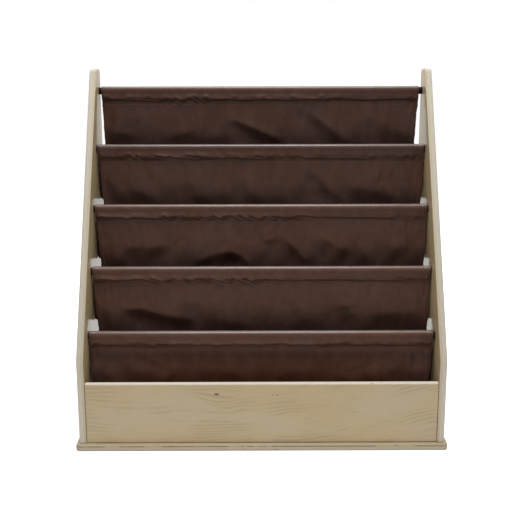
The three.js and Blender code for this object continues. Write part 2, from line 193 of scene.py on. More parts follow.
def ply_stripes(shader, place, waver, edge, through, start, thickness, seed, open_ply):
    """The plies of a cut edge as stripes over the thickness that begins at start: long grain and end grain by
    turns, browner far from start, with glue between them. End grain has pores and a few dark voids, and the
    glue of open_ply is dark and broken. Returns the colour, and where the end grain is."""
    depth = sums(shader, "DIVIDE", sums(shader, "SUBTRACT", pick(shader, place, through), start),
                 thickness / plies_in_board)
    layer_at = sums(shader, "ADD", depth, sums(shader, "MULTIPLY_ADD", waver, 0.30, -0.15))
    stripe = sums(shader, "PINGPONG", layer_at, 1.0)
    end_ply = between(shader, stripe, 0.44, 0.56)
    plies = tint(shader, end_ply, times(edge, 1.07), times(edge, 0.93, 0.88, 0.80))
    inner = between(shader, layer_at, 0.62 * plies_in_board, 0.70 * plies_in_board)
    plies = stain(shader, plies, inner, 0.55, times(edge, 0.86, 0.76, 0.58))
    pores = noise(shader, stretched(shader, place, (900.0, 900.0, 900.0)), 1.0, 2.0)
    plies = stain(shader, plies, sums(shader, "MULTIPLY", end_ply, pores), 0.35, times(edge, 0.5))
    plies = stain(shader, plies, sums(shader, "COMPARE", stripe, 0.5, 0.07), 0.4, times(edge, 0.4))
    thin = stretched(shader, place, scales(through, 420.0, 46.0), (seed, seed, seed))
    voids = between(shader, noise(shader, thin, 1.0, 1.0), 0.72, 0.76)
    plies = stain(shader, plies, sums(shader, "MULTIPLY", voids, end_ply), 0.8, void_brown)
    specks = noise(shader, stretched(shader, place, (15.0, 15.0, 15.0)), 1.0, 4.0, 0.62)
    opened = sums(shader, "MULTIPLY", sums(shader, "COMPARE", layer_at, open_ply, 0.55),
                  between(shader, specks, 0.42, 0.50))
    return stain(shader, plies, opened, 0.85, open_glue), end_ply


def birch_plywood(name, face, edge, grain, through, start, thickness, seed, climb=0.0, knots=(), open_ply=20,
                  joints=(), outside=1.0):
    """Clear-lacquered birch plywood. Its figure runs along grain on its faces. Where the surface turns away
    from through, its plies show, darker where the grain is cut across. The lacquer is smooth on the faces and
    soaks into the edges. The face at start is painted outside times as pale, as painted light. A dark line of
    painted shadow runs along each joint plane that it is given (axis, place, width), where the board meets
    another or stands on the floor."""
    material, shader = new_finish(name, 0.42, Specular_IOR_Level=0.06, Coat_Roughness=0.12)
    place, facing = own_place(shader), own_facing(shader)
    bands, pins, drift = figure(shader, place, grain, through, seed, climb, knots)
    fibre = noise(shader, stretched(shader, place, scales(grain, 9.0, 260.0)), 3.0, 4.0, 0.62)
    dashes = noise(shader, stretched(shader, place, scales(grain, 38.0, 640.0)), 1.6, 1.0)
    fleck = between(shader, dashes, 0.66, 0.78)
    outward = sums(shader, "MULTIPLY", pick(shader, facing, through), -math.copysign(1, thickness))
    outer = between(shader, outward, 0.3, 0.6)
    tones = face, times(face, 1.01, 0.93, 0.85), times(face, 0.80, 0.76, 0.69)
    # Painted light: the face at start is made outside times as pale.
    pale, pinkish, dark = (tint(shader, outer, colour, times(colour, outside)) for colour in tones)
    board = tint(shader, drift, pale, pinkish)
    board = stain(shader, board, bands, 0.80, dark)
    board = stain(shader, board, between(shader, fibre, 0.35, 0.75), 0.30, dark)
    board = stain(shader, board, fleck, 0.3, times(face, 0.5))
    board = stain(shader, board, pins, 0.9, knot_brown)

    waver = noise(shader, stretched(shader, place, (24.0, 24.0, 24.0)), 1.0, 2.0)
    plies, end_ply = ply_stripes(shader, place, waver, edge, through, start, thickness, seed, open_ply)
    sawn = between(shader, sums(shader, "ABSOLUTE", pick(shader, facing, grain)), 0.1, 0.5)
    plies = stain(shader, plies, sawn, 0.28, times(edge, 0.35))
    on_edge = between(shader, sums(shader, "ABSOLUTE", pick(shader, facing, through)), 0.93, 0.80)
    wood = tint(shader, on_edge, board, plies)
    # Painted shadow: a dark line along each joint plane, where boards meet or stand.
    for axis, at, width in joints:
        off = sums(shader, "ABSOLUTE", sums(shader, "SUBTRACT", pick(shader, place, axis), at))
        line = sums(shader, "MULTIPLY", between(shader, off, width, 0.45 * width),
                    sums(shader, "ADD", waver, 0.35))
        wood = tint(shader, line, wood, joint_shadow_brown)

    gloss = sums(shader, "MULTIPLY_ADD", fibre, 0.12, 0.36)
    height = sums(shader, "MULTIPLY_ADD", fleck, -0.6, fibre)
    height = sums(shader, "MULTIPLY_ADD", sums(shader, "MULTIPLY", on_edge, end_ply), -0.5, height)
    feed(shader, Base_Color=wood, Coat_Weight=sums(shader, "MULTIPLY_ADD", on_edge, -0.38, 0.46),
         Roughness=sums(shader, "MULTIPLY_ADD", on_edge, 0.10, gloss),
         Normal=bump(shader, height, 0.22, 0.3 * MM))
    return material


def dress(names, material):
    """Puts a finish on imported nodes, whose meshes stay as they are."""
    for name in names:
        nodes[name].data.materials.clear()
        nodes[name].data.materials.append(material)


base_low, base_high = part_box("base_panel")
ply = base_high.z - base_low.z
# A dark line of painted shadow runs along the base's bottom, where it stands on the floor.
dress(["base_panel"], birch_plywood("base_birch", (0.55, 0.465, 0.32), (0.60, 0.535, 0.415), "X", "Z",
                                    base_low.z, ply, 1.7, open_ply=7.6, joints=[("Z", base_low.z, 2.4 * MM)]))


# Sides. Two boards of the same birch plywood stand on the base with a sloping front edge, from which the
# rods step down. Their grain runs upright, and the lacquer on their inner faces mirrors what lies beside.
# Their outer faces are painted 1.22 times paler than the inner ones, as painted light where the lamps
# reach them less.
side_face, side_edge = (0.485, 0.390, 0.235), (0.665, 0.615, 0.525)
left_low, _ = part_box("left_side")
_, right_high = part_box("right_side")
# A dark line of painted shadow runs along the foot of each side, where it stands on the base.
foot = [("Z", left_low.z, 1.2 * MM)]
for side, outer_face, inward, seed in (("left", left_low.x, ply, 5.3), ("right", right_high.x, -ply, 9.1)):
    dress([f"{side}_side"], birch_plywood(f"{side}_birch", side_face, side_edge, "Z", "X", outer_face, inward,
                                          seed, joints=foot, outside=1.22))


# Front board. It closes the lowest bin between the sides. The grain runs across the shelf, with one small
# dark pin knot left of the middle that the figure bends round, and two fainter specks right of it.
front_low, front_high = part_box("front_panel")
knots = [(-0.0936, 0.1226, 0.0034), (0.0225, 0.1207, 0.0011), (0.0320, 0.1206, 0.0013)]
# Dark lines of painted shadow run where the front board meets the base and each side.
front_joint_shadows = [("Z", front_low.z, 2.0 * MM), ("X", front_low.x, 1.6 * MM), ("X", front_high.x, 1.6 * MM)]
dress(["front_panel"], birch_plywood("front_birch", (0.542, 0.443, 0.281), (0.64, 0.605, 0.55), "X", "Y",
                                     front_low.y, ply, 3.1, climb=0.17, knots=knots, joints=front_joint_shadows))


# Rods. Steel tubes painted satin black, one inside each sleeve of the sling, with a tapped plug in each end
# for the bolt through the side. Only their ends show, in the gap between a sleeve and a side.
def satin_black_paint():
    """Black paint with a faint orange-peel swell and slightly uneven gloss."""
    material, shader = new_finish("satin_black_paint", 0.36, Specular_IOR_Level=0.06)
    place = own_place(shader)
    wear_and_highlight = noise(shader, place, 70.0, 3.0)
    feed(shader, Base_Color=tint(shader, wear_and_highlight, (0.003, 0.0026, 0.0024), (0.008, 0.007, 0.006)),
         Roughness=sums(shader, "MULTIPLY_ADD", wear_and_highlight, 0.16, 0.28),
         Normal=bump(shader, noise(shader, place, 900.0, 2.0), 0.12, 0.2 * MM))
    return material


rod_names = [f"rod_{k}" for k in range(1, 7)]
dress(rod_names, satin_black_paint())


# Bolts and screws. Zinc-plated steel: a flat-headed bolt with a hexagon socket through each side into each
# rod, and countersunk screws that join the boards, with beech dowels between them.
def zinc_plate(name, shine, cloud):
    """Bright plated steel whose gloss and tone drift in soft clouds, with fine turning marks."""
    material, shader = new_finish(name, 0.3, Metallic=1.0)
    place = own_place(shader)
    drift = noise(shader, place, cloud, 3.0)
    marks = noise(shader, stretched(shader, place, scales("X", 6000.0, 900.0)), 1.0, 1.0)
    feed(shader, Base_Color=tint(shader, drift, (0.46, 0.46, 0.45), (0.66, 0.66, 0.67)),
         Roughness=sums(shader, "MULTIPLY_ADD", drift, 0.2, shine), Normal=bump(shader, marks, 0.1, 0.1 * MM))
    return material


dress([name for name in nodes if name.startswith("rod_bolt")], zinc_plate("bolt_zinc", 0.2, 260.0))
dress([name for name in nodes if "_screw_" in name], zinc_plate("screw_zinc", 0.28, 420.0))


def plain_beech():
    """Pinkish beech with short darker rays along X and Z."""
    material, shader = new_finish("plain_beech", 0.62)
    place = own_place(shader)
    rays = noise(shader, stretched(shader, place, scales("Y", 1400.0, 220.0)), 1.0, 2.0)
    tone = tint(shader, between(shader, rays, 0.5, 0.7), (0.60, 0.40, 0.24), (0.42, 0.25, 0.13))
    feed(shader, Base_Color=tone, Normal=bump(shader, rays, 0.15, 0.2 * MM))
    return material


dress([name for name in nodes if "_dowel_" in name], plain_beech())


# Sling. One length of dark brown cloth goes over each rod and is sewn to itself below it, so that each rod
# sits in a sleeve, and between two seams it hangs slack as a pocket. Its side edges are turned and hemmed.
rods = [sum(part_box(name), Vector()) / 2 for name in rod_names]
sleeve_low, sleeve_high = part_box("sling_sleeve_1")
half_width = sleeve_high.x
cloth = 1.5 * MM
hem = 10 * MM

# From the side: the radius of the cloth's middle round a rod, how far the seam and the pocket's lowest point
# lie below, half of what the two layers at a seam are apart, the tail beyond the first and the last seam, and
# the distance between the points of a tier's line.
wrap = sleeve_high.z - rods[0].z - cloth / 2
seam_drop = rods[0].z - sleeve_low.z
pocket_drop = 116 * MM
layer = cloth / 2 + 0.08 * MM
allowance = 7 * MM
spacing = 0.25 * MM


def ease(t):
    """A smooth rise from 0 at t = 0 to 1 at t = 1, flat outside."""
    t = np.clip(t, 0, 1)
    return t * t * (3 - 2 * t)


def arc_start():
    """The angle on the rod, from straight back, at which the rear flank of a sleeve meets the arc."""
    return math.atan2(-seam_drop, layer) + math.acos(wrap / math.hypot(layer, seam_drop))


def sleeve_line():
    """Middle of the cloth round a rod at the origin, from the seam behind it to the seam in front: a straight
    flank, an arc over the rod, a straight flank. Each flank meets the arc square to the radius."""
    turn = np.linspace(arc_start(), math.pi - arc_start(), 90)
    arc = wrap * np.stack([np.cos(turn), np.sin(turn)], 1)
    return np.concatenate([[[layer, -seam_drop]], arc, [[-layer, -seam_drop]]])


def pocket_line(rear, front, low):
    """Middle of the slack cloth between two seams: its height is bend * cosh(y / bend) over its lowest point,
    and halving finds the bend with which both arms reach their seams."""
    rises = np.array([rear[1] - low, front[1] - low])
    tight, loose = 1e-5, rear[0] - front[0]
    for _ in range(60):
        bend = (tight + loose) / 2
        spread = bend * np.arccosh(1 + rises / bend)
        tight, loose = (bend, loose) if spread.sum() < rear[0] - front[0] else (tight, bend)
    arms = np.sqrt((rises + bend) ** 2 - bend ** 2)
    along = np.linspace(arms[0], -arms[1], 1600)
    y = front[0] + spread[1] + bend * np.arcsinh(along / bend)
    return np.stack([y, low - bend + np.hypot(bend, along)], 1)


def bin_line(rear, foot):
    """Middle of the sling's last fall: a straight line that bows forward by a sine, 5 mm in its middle."""
    down = np.linspace(0, 1, 400)[:, None]
    bow = np.concatenate([-5 * MM * np.sin(math.pi * down), 0 * down], 1)
    return np.array(rear) * (1 - down) + np.array(foot) * down + bow


def even_line(line):
    """The same line with a point at each spacing, its distance along, and the direction that its upper side
    faces, eased over 3 mm so that the cloth turns softly at a seam."""
    run = np.concatenate([[0], np.cumsum(np.hypot(*np.diff(line, axis=0).T))])
    far = np.linspace(0, run[-1], int(run[-1] / spacing) + 1)
    even = np.stack([np.interp(far, run, line[:, i]) for i in (0, 1)], 1)
    ahead = np.gradient(even, axis=0)
    beside = 6
    padded = np.pad(ahead, ((beside, beside), (0, 0)), mode="edge")
    soft = sum(padded[i:i + len(ahead)] for i in range(2 * beside + 1))
    soft /= np.hypot(*soft.T)[:, None]
    return far, even, np.stack([soft[:, 1], -soft[:, 0]], 1)


def tier_line(tier):
    """The cloth's line for one tier: its sleeve, then the pocket down and up to the next seam. The lowest
    tier falls almost straight instead, and ends round the anchor rod in a sleeve whose seam is above it."""
    rod, below = rods[tier - 1], rods[tier]
    sleeve = sleeve_line()
    over = sleeve + [rod.y, rod.z]
    if tier == 1:
        over = np.concatenate([[over[0] - [0, allowance]], over])
    if tier < 5:
        rest = pocket_line(over[-1], (below.y + layer, below.z - seam_drop), below.z - pocket_drop)
    else:
        around = [below.y, below.z] - sleeve
        rest = np.concatenate([bin_line(over[-1], around[0]), around[1:], [around[-1] + [0, allowance]]])
    return even_line(np.concatenate([over, rest[1:]]))


tiers = range(1, 6)
lines = {tier: tier_line(tier) for tier in tiers}
flank = math.sqrt(seam_drop ** 2 + layer ** 2 - wrap ** 2)
arc_turn = math.pi - 2 * arc_start()
round_rod = 2 * flank + wrap * arc_turn


def seam_at(tier):
    """How far along a tier's line its front seam is."""
    return round_rod + (allowance if tier == 1 else 0)


# Creases and folds of the hanging cloth. Each has its depth and width and the points (x, drop under the front
# seam) that it runs through, from its narrow end. Creases lie on the sleeves, where the drop is negative, and
# folds on the falls. tucks gives how far each sleeve bags forward above its seam, by x.
tucks = {
    1: [(-360, 0.7), (-230, 0.75), (-190, 0.95), (-120, 0.9), (150, 0.8), (200, 0.5), (360, 0.45)],
    2: [(-360, 0.4), (-300, 0.65), (-240, 0.9), (-130, 0.9), (-20, 0.75), (60, 0.35), (360, 0.3)],
    3: [(-360, 1.05), (-204, 1.05), (-180, 0.75), (60, 0.75), (90, 0.35), (140, 0.15), (360, 0.15)],
    4: [(-360, 1.05), (-235, 1.0), (-200, 0.75), (-10, 0.75), (110, 0.4), (200, 0.25), (360, 0.35)],
    5: [(-360, 0.55), (-220, 0.65), (-180, 0.95), (130, 0.95), (190, 0.6), (360, 0.5)],
}
creases = {
    1: [(0.7, 2.2, (-337, -13), (-285, -9), (-229, -5)), (1.2, 2.0, (-192, -17), (-177, -4)),
        (0.9, 1.9, (-163, -15), (-176, -4)), (1.2, 2.0, (-160, -16), (-144, -3)),
        (1.1, 1.9, (-143, -15), (-127, -3)),
        (0.8, 2.4, (-120, -9), (-80, -13), (-40, -8), (10, -12), (60, -9), (110, -13), (150, -9)),
        (0.4, 2.2, (160, -13), (240, -9), (335, -12))],
    2: [(1.1, 2.0, (-295, -23), (-283, -7)), (1.2, 2.0, (-276, -21), (-261, -5)),
        (1.1, 2.4, (-247, -20), (-190, -12), (-138, -5)), (0.9, 2.3, (-138, -7), (-69, -11), (2, -6)),
        (0.8, 1.9, (0, -16), (14, -6)), (0.8, 1.9, (80, -17), (103, -7)), (0.5, 2.2, (110, -9), (235, -7)),
        (0.5, 4.6, (250, -14), (244, 22)), (0.5, 4.8, (270, -8), (264, 46)),
        (0.6, 4.6, (296, -4), (291, 38)), (0.5, 4.2, (321, -17), (317, 12)),
        (0.4, 3.6, (341, -21), (337, -3)), (-0.4, 3.4, (-313, 4), (-309, 22))],
    3: [(0.8, 2.6, (-359, -17), (-280, -12), (-204, -7)), (1.2, 2.0, (-212, -20), (-203, -6)),
        (1.1, 2.0, (-186, -18), (-171, -6)), (1.2, 2.1, (-136, -18), (-114, -6)),
        (1.2, 2.1, (-105, -20), (-84, -7)), (1.4, 2.2, (-69, -20), (-45, -3)),
        (1.4, 2.2, (-46, -20), (-24, -3)), (1.2, 2.1, (-22, -18), (0, -4)), (1.2, 2.1, (6, -18), (28, -4)),
        (1.0, 2.0, (37, -20), (52, -4)), (0.9, 2.1, (80, -19), (126, -11)),
        (0.4, 2.4, (130, -12), (290, -9)), (0.5, 4.0, (305, -21), (315, 6)),
        (0.5, 4.0, (341, -21), (334, 12))],
    4: [(0.8, 2.6, (-353, -18), (-300, -13), (-261, -16), (-229, -4)), (1.2, 2.1, (-238, -21), (-204, -7)),
        (1.1, 2.0, (-191, -18), (-164, -7)), (1.0, 2.0, (-156, -16), (-134, -4)),
        (1.5, 2.3, (-112, -19), (-67, -3)), (1.5, 2.3, (-64, -21), (-32, 0)),
        (1.1, 2.0, (-30, -16), (-11, -1)), (0.6, 2.3, (0, -15), (60, -10), (112, -12)),
        (0.4, 2.4, (120, -12), (300, -8))],
    5: [(0.5, 2.6, (-345, -12), (-260, -8)), (0.6, 2.6, (-230, -16), (-120, -13), (-20, -15), (120, -13)),
        (0.4, 2.4, (150, -11), (330, -9))],
}
folds = {
    1: [(2.7, 5.6, (-66, 36), (3, 68), (45, 88)), (2.2, 5.8, (98, 12), (147, 50), (196, 92)),
        (1.5, 8.0, (240, 32), (345, 84)), (1.7, 7.0, (-150, 62), (-214, 82)),
        (1.6, 8.0, (-282, 78), (-360, 66)), (1.2, 8.0, (-75, 76), (-140, 86)),
        (1.2, 9.0, (-250, 30), (-330, 50))],
    2: [(1.4, 6.0, (95, 26), (87, 80)), (1.1, 7.0, (134, 48), (118, 74)),
        (1.6, 8.0, (-312, 62), (-228, 88)), (1.8, 9.0, (178, 54), (322, 90)),
        (1.2, 9.0, (-170, 86), (-60, 76)), (1.1, 9.0, (-30, 74), (40, 92)),
        (1.3, 7.0, (-340, 34), (-324, 88)), (1.0, 8.0, (-215, 46), (-150, 60))],
    3: [(2.5, 5.5, (-26, 98), (-45, 80), (-69, 69), (-100, 77), (-140, 94)), (2.5, 5.6, (46, 32), (97, 92)),
        (1.8, 7.0, (122, 34), (204, 80)), (1.6, 5.6, (206, 40), (238, 98)),
        (1.5, 9.0, (268, 54), (354, 72)), (1.8, 7.5, (-204, 56), (-300, 64)),
        (-1.5, 6.0, (-146, 24), (-216, 90)), (1.2, 4.0, (4, 8), (5, 44)),
        (1.1, 8.0, (-300, 92), (-352, 78)), (1.0, 4.0, (-28, 8), (-24, 40)),
        (-0.9, 4.0, (30, 6), (34, 40))],
    4: [(2.5, 6.0, (-300, 58), (-262, 57), (-220, 71), (-148, 86)), (1.7, 9.0, (-24, 96), (-112, 86)),
        (1.4, 5.4, (62, 10), (87, 80)), (1.8, 7.0, (163, 38), (206, 80)), (1.6, 9.0, (236, 72), (340, 72)),
        (1.1, 8.0, (20, 92), (120, 86)), (1.2, 7.0, (-352, 44), (-330, 88)),
        (0.9, 4.0, (110, 8), (114, 44)), (-0.8, 4.0, (214, 10), (218, 46)),
        (1.0, 8.0, (-180, 40), (-90, 52))],
    5: [(-1.5, 5.0, (-285, 14), (-196, 56)), (-1.3, 4.6, (-242, -1), (-180, 38)),
        (-1.4, 5.0, (216, 2), (160, 55)), (-1.5, 5.0, (300, 2), (218, 47)),
        (-1.0, 5.0, (215, 44), (170, 62)), (1.0, 8.0, (-20, 62), (-130, 56)),
        (1.0, 8.0, (20, 64), (110, 54)), (1.2, 7.0, (-318, 70), (-352, 46)),
        (0.9, 7.0, (300, 60), (350, 52))],
}


def waves(tier, x, down, count, longest, shortest):
    """Uneven cloth as a sum of slanting cosines, each with its own length, slant and start, about 1 deep."""
    draw = np.random.default_rng(40 + tier)
    total = 0
    for length, slant, start in zip(np.geomspace(longest, shortest, count), draw.uniform(-0.9, 0.9, count),
                                    draw.uniform(0, 2 * math.pi, count)):
        total = total + np.cos(2 * math.pi * (x + slant * down) / length + start)
    return total / math.sqrt(count)


def folded(marks, x, drop, spread, trail):
    """Creases or folds in mm. With t the distance below a line over its width, cloth stands off by
    -depth * t * exp(0.5 - t * t / 2): forward above the line and back below it, so that the face between
    looks down. Below the line the bell is trail times as long. The width grows to spread times itself along
    the line, which fades at its two ends and starts at about half its depth. A negative depth looks up."""
    total = 0 * x
    for deep, wide, *points in marks:
        spans = [math.dist(here, there) for here, there in zip(points, points[1:])]
        gone = 0
        for (x0, d0), (x1, d1), long in zip(points, points[1:], spans):
            along = ((x - x0) * (x1 - x0) + (drop - d0) * (d1 - d0)) / long
            share = np.clip((gone + along) / sum(spans), 0, 1)
            t = ((drop - d0) * (x1 - x0) - (x - x0) * (d1 - d0)) / (long * wide * (1 + (spread - 1) * share))
            t = t if x1 > x0 else -t
            longer = np.where(t > 0, trail, 1)
            fade = 4.2 * wide
            ends = ease(along / fade + 0.5) * ease((long - along) / fade + 0.5)
            deeper = 0.55 + 0.45 * ease(share / 0.4)
            total = total - deep * ends * deeper * t * np.exp(0.5 - (t / longer) ** 2 / 2)
            gone = gone + long
    return total


bag_depth, ridge_depth, flute_depth, broad_depth, finer_depth = 6.2, 0.55, 1.4, 1.3, 0.40
crease_share, fold_share = 2.0, 0.8
sewn_down, flutes_long, hidden_long, side_fade = 3.2 * MM, 24 * MM, 110 * MM, 16 * MM


def relief(tier, far, x):
    """How far the cloth stands off its line, in metres. A sleeve bags forward: it stands further and further
    out from the rod down to turn_in over its seam, then comes back to it, by a smooth least of the two, and
    creases cross it. The crown over the rod is a little uneven. A low ridge lies just under the seam. Below
    it, flutes die away, a soft unevenness comes and goes, and folds run down. All of it fades on the hidden
    wall and towards the side edges, and a floor keeps it out of the rod."""
    drop = far - seam_at(tier)
    length = lines[tier][0][-1] - seam_at(tier)
    level = 0 * drop
    turn_in = (17.6 + 2.4 * waves(tier + 60, x, level, 6, 0.16, 0.022)) * MM
    tuck = np.interp(x / MM, *np.transpose(tucks[tier])) + 0.12 * waves(tier + 70, x, level, 5, 0.09, 0.02)
    rise, fall = (drop + flank) / (flank - turn_in), (-drop - sewn_down) / (turn_in - sewn_down)
    sharp = 7
    peak = -np.log(np.exp(-sharp * np.clip(rise, -1, 2)) + np.exp(-sharp * np.clip(fall, -1, 3))) / sharp
    bag = bag_depth * np.clip(tuck, 0, 1.1) * ease(np.clip(peak, 0, 1) * 0.66) / ease(0.62)
    bag = bag * ((drop < 0) & (drop > -flank))
    crown = 0.10 + 0.08 * waves(tier + 7, x, level, 4, 0.13, 0.04)
    crown = crown * ((far > flank * 0.6) & (drop < -flank * 0.7))
    crossing = ease((drop + flank + 2 * MM) / (5 * MM)) * (1 - 0.75 * np.exp(-(drop / (1.6 * MM)) ** 2))
    ridge = ridge_depth * np.exp(-((drop / MM - 1.4) / 0.9) ** 2)
    sleeve = bag + crown + crease_share * crossing * folded(creases[tier], x / MM, drop / MM, 1.0, 1.3)

    under = np.clip(drop, 0, None)
    gathered = 0.75 + 0.5 * waves(tier + 110, x, level, 3, 0.3, 0.1)
    flutes = (flute_depth * np.clip(gathered, 0.2, 1.5) * waves(tier + 20, x, 0.25 * under, 7, 0.040, 0.011)
              * np.exp(-under / flutes_long) * (1 - np.exp(-under / (2.5 * MM))))
    broad = (broad_depth * waves(tier + 30, x, under, 4, 0.20, 0.06)
             + finer_depth * waves(tier + 50, x, 0.3 * under, 6, 0.06, 0.018))
    seen = ease((length - under) / hidden_long)
    hanging = ease(under / (40 * MM)) * seen
    pleats = fold_share * folded(folds[tier], x / MM, drop / MM, 1.7, 3.0)
    pleats = pleats * ease(under / (12 * MM)) * seen
    stands = sleeve + ridge + (drop > 0) * (flutes + broad * hanging + pleats)
    stands = stands * ease((half_width - np.abs(x)) / side_fade + 0.4)
    floor = -(0.05 + 110 * under + 1.3 * np.sin(math.pi * np.clip(-drop / flank, 0, 1)))
    return MM * np.maximum(stands, floor)


# The sling's side edges. Half its width in mm on its left and on its right, by the drop under each front
# seam: the falls' weight draws the edges in, and they come out again on the way up to the next rod.
half_widths = {
    1: [[(-30, 360.3), (-21, 360.1), (0, 359.5), (88, 356.6)],
        [(-30, 358.0), (0, 357.0), (88, 351.5)]],
    2: [[(-27, 363.6), (-3, 359.6), (63, 357.5), (92, 353.9)],
        [(-27, 363.4), (30, 362.8), (63, 361.5), (92, 358.8)]],
    3: [[(-27, 362.7), (-5, 361.0), (40, 358.0), (96, 354.1)],
        [(-27, 363.2), (40, 363.0), (73, 361.7), (96, 359.3)]],
    4: [[(-27, 362.3), (35, 360.0), (79, 356.6), (99, 353.5)],
        [(-27, 363.2), (4, 364.0), (57, 363.3), (99, 360.0)]],
    5: [[(-27, 363.4), (50, 362.1), (70, 356.2)],
        [(-27, 361.6), (5, 361.6), (46, 358.6), (66, 354.5)]],
}


def reaches(tier, drop, across):
    """Half the sling's width on the side that across points to: through the measured points, and then out
    until the hidden arm of a pocket all but touches the side."""
    length = (lines[tier][0][-1] - seam_at(tier)) / MM
    back = [(132, 364.6), (length, 364.6)] if tier < 5 else [(120, 359.0), (length, 362.0)]
    left, right = (np.interp(drop / MM, *np.transpose(side + back)) for side in half_widths[tier])
    return MM * np.where(across < 0, left, right)


def sling_point(tier, far, across, off):
    """Points of the sling: along the tier's line by far, across by -1 to 1 of its width, and off its middle.
    Its two side edges wander a little, each in its own way."""
    even_far, even, facing = lines[tier]
    drop = far - seam_at(tier)
    wander = 0.35 * MM
    left, right = (wander * waves(tier + seed, drop, 0 * drop, 4, 0.09, 0.02) for seed in (80, 90))
    shaky = np.where(across < 0, left, right) * (drop > -flank)
    x = across * (reaches(tier, drop, across) + shaky)
    stand = relief(tier, far, x) + off
    y, z, ny, nz = (np.interp(far, even_far, values[:, i]) for values in (even, facing) for i in (0, 1))
    return np.stack([x, y + ny * stand, z + nz * stand], -1)


def stations(tier):
    """Distances along the tier's line for the rows of its mesh: 0.9 mm apart at the seam, 1.6 on the sleeve's
    front, 2.2 where the fall shows and 3.2 to 4.2 on the hidden walls, but 1.8 round the anchor rod."""
    far = lines[tier][0]
    drop = far - seam_at(tier)
    gap = np.where(drop < 96 * MM, 2.2, 3.4)
    gap = np.where(drop < 0, 1.6, gap)
    gap = np.where(drop < -round_rod + flank, 3.2, gap)
    gap = np.where(drop > 0.66 * (far[-1] - seam_at(tier)), 4.2 if tier < 5 else 1.8, gap)
    gap = np.where(np.abs(drop) < 5 * MM, 0.9, gap)
    count = np.concatenate([[0], np.cumsum(np.diff(far) / (gap[1:] * MM))])
    return np.interp(np.linspace(0, count[-1], int(count[-1]) + 1), count, far)


def undercut(tier, far, x):
    """0 to 1 by how steeply the cloth draws back below a bulge or a fold: the loss of relief over a step down
    the line, as a share of the steepest. The finish darkens the cloth by it, as painted shade."""
    steepest = 0.45
    slope = np.gradient(relief(tier, far, x), axis=0) / np.gradient(far, axis=0)
    return np.clip(-slope / steepest, 0, 1)


def thickness(edge):
    """Half the cloth's thickness at a distance from its side edge: rounded there, and thicker in the hem."""
    turned_over, rounding = 0.28 * MM, 1.1 * MM
    in_hem = 1 - ease((edge - 0.95 * hem) / (0.12 * hem))
    rounded = np.sqrt(np.clip(1 - (1 - np.clip(edge / rounding, 0.02, 1)) ** 2, 0, 1))
    return (cloth / 2 + turned_over * in_hem) * rounded


def cloth_shell(name, face, back, run):
    """A closed cloth from two grids of points, its face and its back, with a strip round the rim. run is each
    point's place on the flat cloth and its undercut, kept for the finish, which paints shade by the undercut."""
    rows, columns = face.shape[:2]
    grid = np.arange(rows * columns).reshape(rows, columns)
    other = grid + rows * columns

    def quads(a, b, c, d):
        return np.stack([part.ravel() for part in (a, b, c, d)], 1)

    faces = np.concatenate([
        quads(grid[:-1, :-1], grid[1:, :-1], grid[1:, 1:], grid[:-1, 1:]),
        quads(other[:-1, :-1], other[:-1, 1:], other[1:, 1:], other[1:, :-1]),
        quads(grid[:-1, 0], other[:-1, 0], other[1:, 0], grid[1:, 0]),
        quads(grid[:-1, -1], grid[1:, -1], other[1:, -1], other[:-1, -1]),
        quads(grid[0, :-1], grid[0, 1:], other[0, 1:], other[0, :-1]),
        quads(grid[-1, :-1], other[-1, :-1], other[-1, 1:], grid[-1, 1:]),
    ])
    mesh = bpy.data.meshes.new(name)
    points = np.concatenate([face.reshape(-1, 3), back.reshape(-1, 3)])
    mesh.vertices.add(len(points))
    mesh.vertices.foreach_set("co", points.astype(np.float32).ravel())
    mesh.loops.add(faces.size)
    mesh.loops.foreach_set("vertex_index", faces.astype(np.int32).ravel())
    mesh.polygons.add(len(faces))
    mesh.polygons.foreach_set("loop_start", np.arange(0, faces.size, 4, dtype=np.int32))
    mesh.polygons.foreach_set("use_smooth", np.ones(len(faces), bool))
    mesh.update(calc_edges=True)
    flat = np.concatenate([run.reshape(-1, 3)] * 2)
    mesh.attributes.new("flat_cloth", "FLOAT_VECTOR", "POINT").data.foreach_set("vector", flat.ravel())
    piece = bpy.data.objects.new(name, mesh)
    bpy.context.scene.collection.objects.link(piece)
    return piece


thread_gap = 1.1 * MM
# The first and the last colours are painted shade; the middle one is the cloth's darker clouds.
painted_shade_black, dark_brown, shade_brown = (0.012, 0.006, 0.006), (0.018, 0.009, 0.008), (0.014, 0.007, 0.006)
# The first colour is painted light for the streaks; the others are the cloth's slubs and weft.
streak_light_brown, slub_brown, weft_brown = (0.118, 0.064, 0.050), (0.11, 0.062, 0.048), (0.03, 0.012, 0.008)
# The first colour is the seams' paler tone, the second a painted highlight for the crests over the rods.
seam_brown, crest_highlight_brown = (0.135, 0.092, 0.078), (0.150, 0.110, 0.099)


